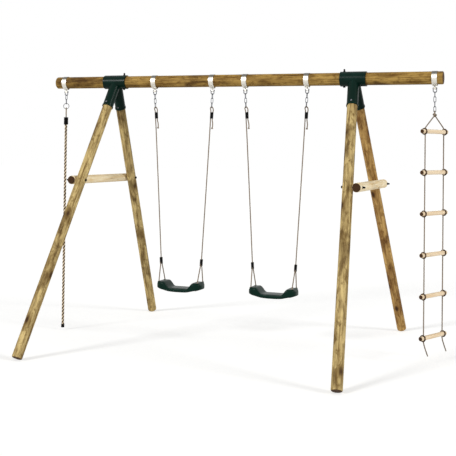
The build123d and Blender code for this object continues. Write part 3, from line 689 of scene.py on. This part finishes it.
# Scales of the wood's patterns: across the pole twice, then along it
KNOT_SCALE = (8.5, 8.5, 4.6)
GRAIN_SCALE = (62, 62, 4.2)
FINE_SCALE = (260, 260, 7)
PATCH_SCALE = (10, 10, 4.5)
MOTTLE_SCALE = (36, 36, 19)
CRACK_SCALE = (42, 42, 1.1)

# Colours of each wood, its end grain darkened partly with painted shade, the strength of its darker streaks,
# and the share of cells with a knot
PINE = {
    "light": (0.66, 0.50, 0.215), "dark": (0.16, 0.092, 0.024), "knot": (0.045, 0.018, 0.006),
    "shaded_end_grain": (0.075, 0.036, 0.012), "streak": 1.35, "knots": 0.75,
}
BEAM_PINE = {**PINE, "light": (0.44, 0.275, 0.072), "dark": (0.120, 0.055, 0.008)}
BROWN_PINE = {**PINE, "light": (0.60, 0.38, 0.13), "dark": (0.185, 0.085, 0.020)}
PALE_PINE = {
    "light": (0.95, 0.84, 0.60), "dark": (0.78, 0.58, 0.30), "knot": (0.10, 0.045, 0.014),
    "shaded_end_grain": (0.024, 0.011, 0.005), "streak": 0.5, "knots": 0.3,
}
RUNG_WOOD = {
    "light": (0.95, 0.80, 0.58), "dark": (0.85, 0.64, 0.40), "knot": (0.11, 0.05, 0.02),
    "shaded_end_grain": (0.03, 0.014, 0.006), "streak": 0.3, "knots": 0.0,
}
POLE_WOODS = {"beam": BEAM_PINE, "leg_rear_right": BROWN_PINE}


def pole_axis(node):
    """A pole's middle and its direction, the main axis of its vertices found in a few rounds."""
    spots = [vertex.co.copy() for vertex in frame["nodes"][node].data.vertices]
    centre = sum(spots, Vector()) / len(spots)
    far = max(spots, key=lambda spot: (spot - centre).length)
    direction = (far - centre).normalized()
    for _ in range(AXIS_ROUNDS):
        weighted = sum(((spot - centre) * (spot - centre).dot(direction) for spot in spots), Vector())
        direction = weighted.normalized()
    return centre, direction


def end_of_pole(nodes, pole_space, patches, shaded_end_grain, knot):
    """The colour of a cut end: growth rings round the pole's middle, a little out of round, on end grain
    darkened partly with painted shade.
    """
    flat = nodes.add("ShaderNodeVectorMath", {0: pole_space, 1: (1, 1, 0)}, operation="MULTIPLY").outputs[0]
    radius = nodes.add("ShaderNodeVectorMath", {0: flat}, operation="LENGTH").outputs["Value"]
    wobble = nodes.math("ADD", radius, nodes.math("MULTIPLY", patches, RING_WOBBLE))
    rings = nodes.math("FRACT", nodes.math("MULTIPLY", wobble, GROWTH_RINGS))
    return nodes.mix(nodes.math("MULTIPLY", rings, 0.6), shaded_end_grain, knot)


def pine(name, node, seed, light, dark, knot, shaded_end_grain, streak, knots):
    """Round pine: long streaks of grain, knots with the grain drawn round them, and end grain darkened
    partly with painted shade.
    """
    nodes = new_material(name)
    centre, direction = pole_axis(node)
    turn = direction.rotation_difference(UP)
    coords = nodes.add("ShaderNodeTexCoord")
    pole_space = nodes.add(
        "ShaderNodeMapping",
        {"Vector": coords.outputs["Object"], "Location": -(turn @ centre), "Rotation": turn.to_euler()},
    ).outputs["Vector"]
    moved = nodes.add("ShaderNodeVectorMath", {0: pole_space, 1: SEED_STEP * seed}).outputs[0]

    cells = nodes.add(
        "ShaderNodeTexVoronoi", {"Vector": nodes.stretch(moved, KNOT_SCALE), "Scale": 1.0, "Randomness": 1.0}
    )
    chosen = nodes.add("ShaderNodeSeparateColor", {"Color": cells.outputs["Color"]}).outputs[0]
    is_knot = nodes.math("LESS_THAN", chosen, knots)
    from_knot = cells.outputs["Distance"]
    near_knot = nodes.math("MULTIPLY", is_knot, nodes.grey_ramp(from_knot, low=0.46, high=0.08))
    in_knot = nodes.math("MULTIPLY", is_knot, nodes.grey_ramp(from_knot, low=0.18, high=0.08))

    x, y, z = nodes.add("ShaderNodeSeparateXYZ", {"Vector": moved}).outputs
    swirl = nodes.math("MULTIPLY", near_knot, GRAIN_SWIRL)
    bent_x = nodes.math("ADD", x, swirl)
    bent_y = nodes.math("ADD", y, swirl)
    bent = nodes.add("ShaderNodeCombineXYZ", {0: bent_x, 1: bent_y, 2: z}).outputs[0]
    grain = nodes.stretched_noise(bent, GRAIN_SCALE, detail=5.0, roughness=0.6, distortion=0.35)
    fine = nodes.stretched_noise(bent, FINE_SCALE, detail=3.0, roughness=0.6)
    patches = nodes.stretched_noise(moved, PATCH_SCALE, detail=3.0, roughness=0.5, distortion=0.6)
    mottle = nodes.stretched_noise(bent, MOTTLE_SCALE, detail=5.0, roughness=0.65, distortion=0.8)
    crack_noise = nodes.stretched_noise(bent, CRACK_SCALE, detail=2.0, roughness=0.5, distortion=0.2)
    from_crack = nodes.math("ABSOLUTE", nodes.math("SUBTRACT", crack_noise, 0.5))
    crack_line = nodes.grey_ramp(from_crack, low=0.006, high=0.0)
    cracks = nodes.math("MULTIPLY", crack_line, nodes.grey_ramp(patches, low=0.5, high=0.62))

    colour = nodes.mix(nodes.grey_ramp(grain, low=0.40, high=0.68), light, dark)
    colour = nodes.mix(nodes.share(mottle, low=0.50, high=0.66, most=0.6 * streak), colour, dark)
    shaded = nodes.share(patches, low=0.50, high=0.66, most=0.5 * streak)
    colour = nodes.mix(shaded, colour, dark, "MULTIPLY")
    colour = nodes.mix(nodes.share(fine, low=0.5, high=0.75, most=0.35), colour, dark)
    colour = nodes.mix(nodes.math("MULTIPLY", near_knot, 0.6 * streak), colour, dark)
    colour = nodes.mix(nodes.math("MULTIPLY", in_knot, 0.95), colour, knot)
    colour = nodes.mix(nodes.math("MULTIPLY", cracks, 0.7), colour, knot)

    facing = nodes.add(
        "ShaderNodeVectorMath", {0: coords.outputs["Normal"], 1: direction}, operation="DOT_PRODUCT"
    ).outputs["Value"]
    on_end = nodes.grey_ramp(nodes.math("ABSOLUTE", facing), low=0.55, high=0.8)
    # cut ends: end grain, darkened further with painted shade
    end_colour = end_of_pole(nodes, pole_space, patches, shaded_end_grain, knot)
    nodes.set(
        Base_Color=nodes.mix(on_end, colour, end_colour),
        Specular_IOR_Level=DULL,
        Roughness=nodes.spread(grain, low=0.5, high=0.78),
    )
    height = nodes.math("SUBTRACT", nodes.math("ADD", grain, nodes.math("MULTIPLY", fine, 0.4)), cracks)
    raised = nodes.math("ADD", height, nodes.math("MULTIPLY", near_knot, 0.8))
    nodes.bump(raised, strength=0.5, distance=0.0014)
    return nodes.owner


# ---- Rope, plastic and metal ----
ROPE_CROWN = (0.66, 1.0)    # shares of a rope's radius between which the painted groove shade gives way to painted light on the crowns
ZINC_CRYSTALS = 160         # per metre
SHADE_BELOW_BEAM_TOP = (0.029, 0.017)    # where the painted shade on the straps starts, and where it is full


def rope_material(name, light, dark, fibre_scale=900, crown=ROPE_CROWN):
    """Laid rope: painted shade darkens the grooves and painted light brightens the strands' crowns, with
    short fibres.
    """
    nodes = new_material(name)
    coords = nodes.add("ShaderNodeTexCoord").outputs["Object"]
    groove = nodes.add("ShaderNodeAttribute", attribute_name="groove").outputs["Fac"]
    fibres = nodes.noise(coords, fibre_scale, detail=4.0, roughness=0.7)
    stains = nodes.noise(coords, scale=14, detail=3.0, roughness=0.6)
    crowns = nodes.grey_ramp(groove, *crown)
    # painted shade in the grooves and painted light on the strands' crowns
    shade = nodes.math("MULTIPLY", crowns, nodes.grey_ramp(fibres, low=0.1, high=0.55))
    shaded_strands = nodes.mix(shade, dark, light)
    worn_and_lit = nodes.mix(nodes.share(stains, low=0.5, high=0.75, most=0.35), shaded_strands, dark)
    nodes.set(Base_Color=worn_and_lit, Roughness=0.86, Specular_IOR_Level=DULL)
    nodes.bump(fibres, strength=0.6, distance=0.0009)
    return nodes.owner


def plastic(name, colour, worn_and_lit, roughness, skin_scale, specular):
    """Moulded plastic: a fine skin texture, faint clouding, and lighter edges that are partly wear and
    partly painted highlight.
    """
    nodes = new_material(name)
    coords = nodes.add("ShaderNodeTexCoord").outputs["Object"]
    skin = nodes.noise(coords, skin_scale, detail=2.0, roughness=0.5)
    clouds = nodes.noise(coords, scale=9, detail=4.0, roughness=0.6)
    scuffs = nodes.stretched_noise(coords, scale=(14, 60, 60), detail=6.0, roughness=0.7)
    edges = nodes.grey_ramp(nodes.add("ShaderNodeNewGeometry").outputs["Pointiness"], low=0.52, high=0.6)
    # lighter edges: partly rubbed wear, partly painted highlight along the edges
    edge_wear_and_highlight = nodes.math("MULTIPLY", edges, nodes.grey_ramp(clouds, low=0.4, high=0.7))
    clouded = nodes.mix(nodes.math("MULTIPLY", clouds, 0.25), colour, worn_and_lit)
    scuffed = nodes.mix(nodes.share(scuffs, low=0.62, high=0.8, most=0.35), clouded, worn_and_lit)
    nodes.set(
        Base_Color=nodes.mix(nodes.math("MULTIPLY", edge_wear_and_highlight, 0.5), scuffed, worn_and_lit),
        Roughness=nodes.spread(clouds, low=roughness - 0.06, high=roughness + 0.1),
        Specular_IOR_Level=specular,
    )
    nodes.bump(skin, strength=0.25, distance=0.0006)
    return nodes.owner


def galvanised(name, dark, pale, shade_colour):
    """Hot-dipped zinc: pale crystal patches, dull spots, and painted shade that darkens it near the top of
    the beam.
    """
    nodes = new_material(name)
    beam_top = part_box("beam")[1][2]
    shade_from, shade_full = [beam_top - below for below in SHADE_BELOW_BEAM_TOP]
    coords = nodes.add("ShaderNodeTexCoord").outputs["Object"]
    cells = nodes.add("ShaderNodeTexVoronoi", {"Vector": coords, "Scale": ZINC_CRYSTALS})
    patch = nodes.add("ShaderNodeSeparateColor", {"Color": cells.outputs["Color"]}).outputs[0]
    dull = nodes.noise(coords, scale=60, detail=4.0, roughness=0.6)
    height = nodes.add("ShaderNodeSeparateXYZ", {"Vector": coords}).outputs[2]
    # painted shade: the zinc darkens towards the top of the beam
    top_shade = nodes.share(height, shade_from, shade_full, most=0.85)
    nodes.set(
        Base_Color=nodes.mix(top_shade, nodes.mix(patch, dark, pale), shade_colour),
        Roughness=nodes.spread(dull, low=0.3, high=0.55),
        Metallic=0.85,
    )
    nodes.bump(dull, strength=0.2, distance=0.0005)
    return nodes.owner


# ---- Painting: CAD nodes keep their shape and get a better material ----
def paint(objects, material):
    for obj in objects:
        obj.data.materials.clear()
        obj.data.materials.append(material)


def paint_nodes(names, material):
    for name in names:
        for spot in frame["nodes"][name].material_slots:
            spot.material = material


def paint_wood():
    """Each pole and rung gets a wood of its own, so that no two show the same grain."""
    poles = ["beam"] + [f"leg_{end}_{side}" for end in ("front", "rear") for side in SIDES]
    for seed, node in enumerate(poles, start=POLE_SEED):
        wood = POLE_WOODS.get(node, PINE)
        paint_nodes([node], pine(f"pine_{node}", node, seed, **wood))
    for seed, side in enumerate(SIDES, start=CROSSBAR_SEED):
        node = f"crossbar_{side}"
        paint_nodes([node], pine(f"pale_pine_{side}", node, seed, **PALE_PINE))
    for seed, number in enumerate(range(1, RUNGS + 1), start=RUNG_SEED):
        node = f"ladder_rung_{number}"
        paint_nodes([node], pine(f"rung_wood_{number}", node, seed, **RUNG_WOOD))


def paint_fittings():
    names = list(frame["nodes"])
    straps = [name for name in names if name.startswith("strap_") and name != "strap_bolts"]
    # the last colour of each zinc is the painted shade near the top of the beam
    paint_nodes(straps, galvanised(
        "strap_zinc", dark=(0.66, 0.63, 0.56), pale=(0.80, 0.77, 0.69), shade_colour=(0.06, 0.055, 0.045)
    ))
    small_metal = [name for name in names if name.startswith("bracket_screws") or "_chain" in name]
    paint_nodes(small_metal + ["strap_bolts"], galvanised(
        "chain_zinc", dark=(0.03, 0.03, 0.035), pale=(0.22, 0.23, 0.25), shade_colour=(0.03, 0.03, 0.03)
    ))
    paint_nodes([f"bracket_{side}" for side in SIDES], plastic(
        "green_moulding", colour=(0.001, 0.011, 0.007), worn_and_lit=(0.003, 0.028, 0.020), roughness=0.28,
        skin_scale=900, specular=0.08
    ))
    fittings = [name for name in names if "adjuster" in name or "connector" in name or "pole_bolts" in name]
    paint_nodes(fittings + ["climbing_clamp", "climbing_end_cap"], plastic(
        "black_moulding", colour=(0.002, 0.002, 0.002), worn_and_lit=(0.008, 0.008, 0.008), roughness=0.45,
        skin_scale=1200, specular=0.05
    ))


def paint_ropes_and_seats(tan_pieces, brown_pieces, dark_pieces, seats):
    paint(tan_pieces, rope_material("tan_laid_rope", light=(0.42, 0.34, 0.25), dark=(0.10, 0.07, 0.05)))
    # strong contrast for painted groove shade and painted light on the crowns
    paint(brown_pieces, rope_material(
        "brown_laid_rope", light=(0.95, 0.76, 0.52), dark=(0.012, 0.005, 0.003), fibre_scale=540,
        crown=(0.86, 0.95)
    ))
    paint(dark_pieces, rope_material("dark_laid_rope", light=(0.15, 0.09, 0.05), dark=(0.03, 0.016, 0.009)))
    paint(seats, plastic(
        "green_seat_moulding", colour=(0.001, 0.014, 0.009), worn_and_lit=(0.003, 0.034, 0.022), roughness=0.30,
        skin_scale=700, specular=0.08
    ))


# ---- Floor, world and light ----
FLOOR_HALF = 60
FLOOR_SEEN = (0.70, 0.70, 0.69)
FLOOR_LIT = (0.86, 0.86, 0.87)      # what the floor gives back to the object
FLOOR_GLOW = 0.505                  # added where the floor is seen, to bring it up to white
WORLD_LIGHT = 0.32                  # what the world gives to the object
WORLD_SEEN = 1.0                    # white
LAMPS = (                           # name, direction of the light, strength, spread in degrees
    ("key", Vector((0.45, 0.85, -0.42)), 2.0, 13),
    ("side", Vector((-0.88, 0.16, -0.34)), 1.5, 15),
)


def is_seen(nodes):
    """1 for rays from the camera and for those off gloss or through glass, 0 for all others."""
    path = nodes.add("ShaderNodeLightPath")
    seen = nodes.math("MAXIMUM", path.outputs["Is Camera Ray"], path.outputs["Is Glossy Ray"])
    return nodes.math("MAXIMUM", seen, path.outputs["Is Transmission Ray"])


def make_floor():
    mesh = bmesh.new()
    corners = ((-1, -1), (1, -1), (1, 1), (-1, 1))
    mesh.faces.new([mesh.verts.new((x * FLOOR_HALF, y * FLOOR_HALF, 0)) for x, y in corners])
    floor = finish_mesh("floor", mesh)
    nodes = new_material("pale_floor")
    seen = is_seen(nodes)
    diffuse = nodes.add("ShaderNodeBsdfDiffuse", {"Color": nodes.mix(seen, FLOOR_LIT, FLOOR_SEEN)})
    glow_strength = nodes.math("MULTIPLY", seen, FLOOR_GLOW)
    glow = nodes.add("ShaderNodeEmission", {"Color": (1, 1, 1, 1), "Strength": glow_strength})
    both = nodes.add("ShaderNodeAddShader", {0: diffuse.outputs[0], 1: glow.outputs[0]})
    nodes.put(nodes.tree.nodes["Material Output"].inputs["Surface"], both.outputs[0])
    floor.data.materials.append(nodes.owner)


def make_world():
    world = bpy.data.worlds.new("studio")
    bpy.context.scene.world = world
    nodes = Nodes(world)
    background = nodes.tree.nodes["Background"]
    nodes.put(background.inputs["Strength"], nodes.spread(is_seen(nodes), WORLD_LIGHT, WORLD_SEEN))
    nodes.put(background.inputs["Color"], (1, 1, 1, 1))


def make_lamps():
    for name, towards, energy, spread in LAMPS:
        data = bpy.data.lights.new(name, "SUN")
        data.energy = energy
        data.angle = math.radians(spread)
        lamp = bpy.data.objects.new(name, data)
        lamp.rotation_mode = "QUATERNION"
        lamp.rotation_quaternion = towards.to_track_quat("-Z", "Y")
        bpy.context.scene.collection.objects.link(lamp)


make_camera()
swing_pieces = []
for side in SIDES:
    for end in SIDES:
        swing_pieces += swing_rope(side, end) + swing_bridle(side, end)
climbing_pieces = [climbing_rope(), climbing_eye()]
ladder_pieces = ladder_ropes()
turn_pieces = rung_turns()
seat_pieces = [piece for side in SIDES for piece in make_seat(side)]

paint_ropes_and_seats(swing_pieces + ladder_pieces, climbing_pieces, turn_pieces, seat_pieces)
paint_wood()
paint_fittings()

make_floor()
make_world()
make_lamps()
bpy.context.scene.view_settings.view_transform = "Standard"
